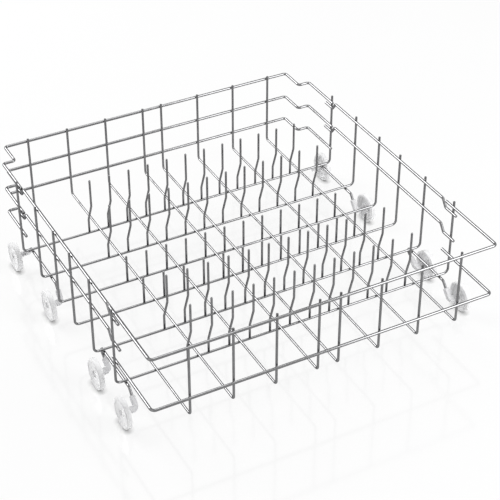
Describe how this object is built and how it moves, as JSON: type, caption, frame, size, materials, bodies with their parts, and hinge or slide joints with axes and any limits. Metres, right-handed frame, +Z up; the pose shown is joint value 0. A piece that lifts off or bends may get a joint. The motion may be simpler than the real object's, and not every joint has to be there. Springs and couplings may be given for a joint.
{
  "type": "dishwasher basket",
  "caption": "Welded wire lower dishwasher basket with rows of plate tines, stepped rim hoops and plastic wheels on wire legs.",
  "frame": {"origin": "on the ground under the middle of the basket", "axes": "+Z up, +X to the right and +Y to the back of the basket, which rolls along Y"},
  "size_m": [0.5516, 0.5676, 0.174],
  "materials": {
    "steel_wire": "bright drawn wire",
    "wheel_plastic": "satin, pale",
    "stud_plastic": "satin, grey"
  },
  "bodies": {
    "rack": {"lengthwise_wire_1": "steel_wire", "lengthwise_wire_2": "steel_wire", "lengthwise_wire_3": "steel_wire", "lengthwise_wire_4": "steel_wire", "lengthwise_wire_5": "steel_wire", "lengthwise_wire_6": "steel_wire", "lengthwise_wire_7": "steel_wire", "lengthwise_wire_8": "steel_wire", "cross_wire_1": "steel_wire", "tine_row_1": "steel_wire", "cross_wire_2": "steel_wire", "tine_row_2": "steel_wire", "cross_wire_3": "steel_wire", "tine_row_3": "steel_wire", "cross_wire_4": "steel_wire", "tine_row_4": "steel_wire", "cross_wire_5": "steel_wire", "tine_row_5": "steel_wire", "cross_wire_6": "steel_wire", "tine_row_6": "steel_wire", "back_hoop_top": "steel_wire", "back_hoop_middle": "steel_wire", "back_hoop_low": "steel_wire", "front_hoop_top": "steel_wire", "front_hoop_low": "steel_wire", "side_wire_left_top": "steel_wire", "side_wire_left_middle": "steel_wire", "wheel_carrier_left_rear": "steel_wire", "wheel_carrier_left_front": "steel_wire", "wheel_stud_left_1": "stud_plastic", "wheel_stud_left_2": "stud_plastic", "wheel_stud_left_3": "stud_plastic", "wheel_stud_left_4": "stud_plastic", "side_wire_right_top": "steel_wire", "side_wire_right_middle": "steel_wire", "wheel_carrier_right_rear": "steel_wire", "wheel_carrier_right_front": "steel_wire", "wheel_stud_right_1": "stud_plastic", "wheel_stud_right_2": "stud_plastic", "wheel_stud_right_3": "stud_plastic", "wheel_stud_right_4": "stud_plastic"},
    "wheel_left_1": {"wheel_left_1": "wheel_plastic"},
    "wheel_left_2": {"wheel_left_2": "wheel_plastic"},
    "wheel_left_3": {"wheel_left_3": "wheel_plastic"},
    "wheel_left_4": {"wheel_left_4": "wheel_plastic"},
    "wheel_right_1": {"wheel_right_1": "wheel_plastic"},
    "wheel_right_2": {"wheel_right_2": "wheel_plastic"},
    "wheel_right_3": {"wheel_right_3": "wheel_plastic"},
    "wheel_right_4": {"wheel_right_4": "wheel_plastic"}
  },
  "joints": [
    {"name": "wheel_left_1_spin", "type": "hinge", "parent": "rack", "child": "wheel_left_1", "pos_m": [-0.2718, 0.2, 0.023], "axis": [1, 0, 0], "continuous": true},
    {"name": "wheel_left_2_spin", "type": "hinge", "parent": "rack", "child": "wheel_left_2", "pos_m": [-0.2718, 0.0617, 0.023], "axis": [1, 0, 0], "continuous": true},
    {"name": "wheel_left_3_spin", "type": "hinge", "parent": "rack", "child": "wheel_left_3", "pos_m": [-0.2718, -0.1126, 0.023], "axis": [1, 0, 0], "continuous": true},
    {"name": "wheel_left_4_spin", "type": "hinge", "parent": "rack", "child": "wheel_left_4", "pos_m": [-0.2718, -0.2028, 0.023], "axis": [1, 0, 0], "continuous": true},
    {"name": "wheel_right_1_spin", "type": "hinge", "parent": "rack", "child": "wheel_right_1", "pos_m": [0.2718, 0.2, 0.023], "axis": [1, 0, 0], "continuous": true},
    {"name": "wheel_right_2_spin", "type": "hinge", "parent": "rack", "child": "wheel_right_2", "pos_m": [0.2718, 0.0617, 0.023], "axis": [1, 0, 0], "continuous": true},
    {"name": "wheel_right_3_spin", "type": "hinge", "parent": "rack", "child": "wheel_right_3", "pos_m": [0.2718, -0.1126, 0.023], "axis": [1, 0, 0], "continuous": true},
    {"name": "wheel_right_4_spin", "type": "hinge", "parent": "rack", "child": "wheel_right_4", "pos_m": [0.2718, -0.2028, 0.023], "axis": [1, 0, 0], "continuous": true}
  ]
}
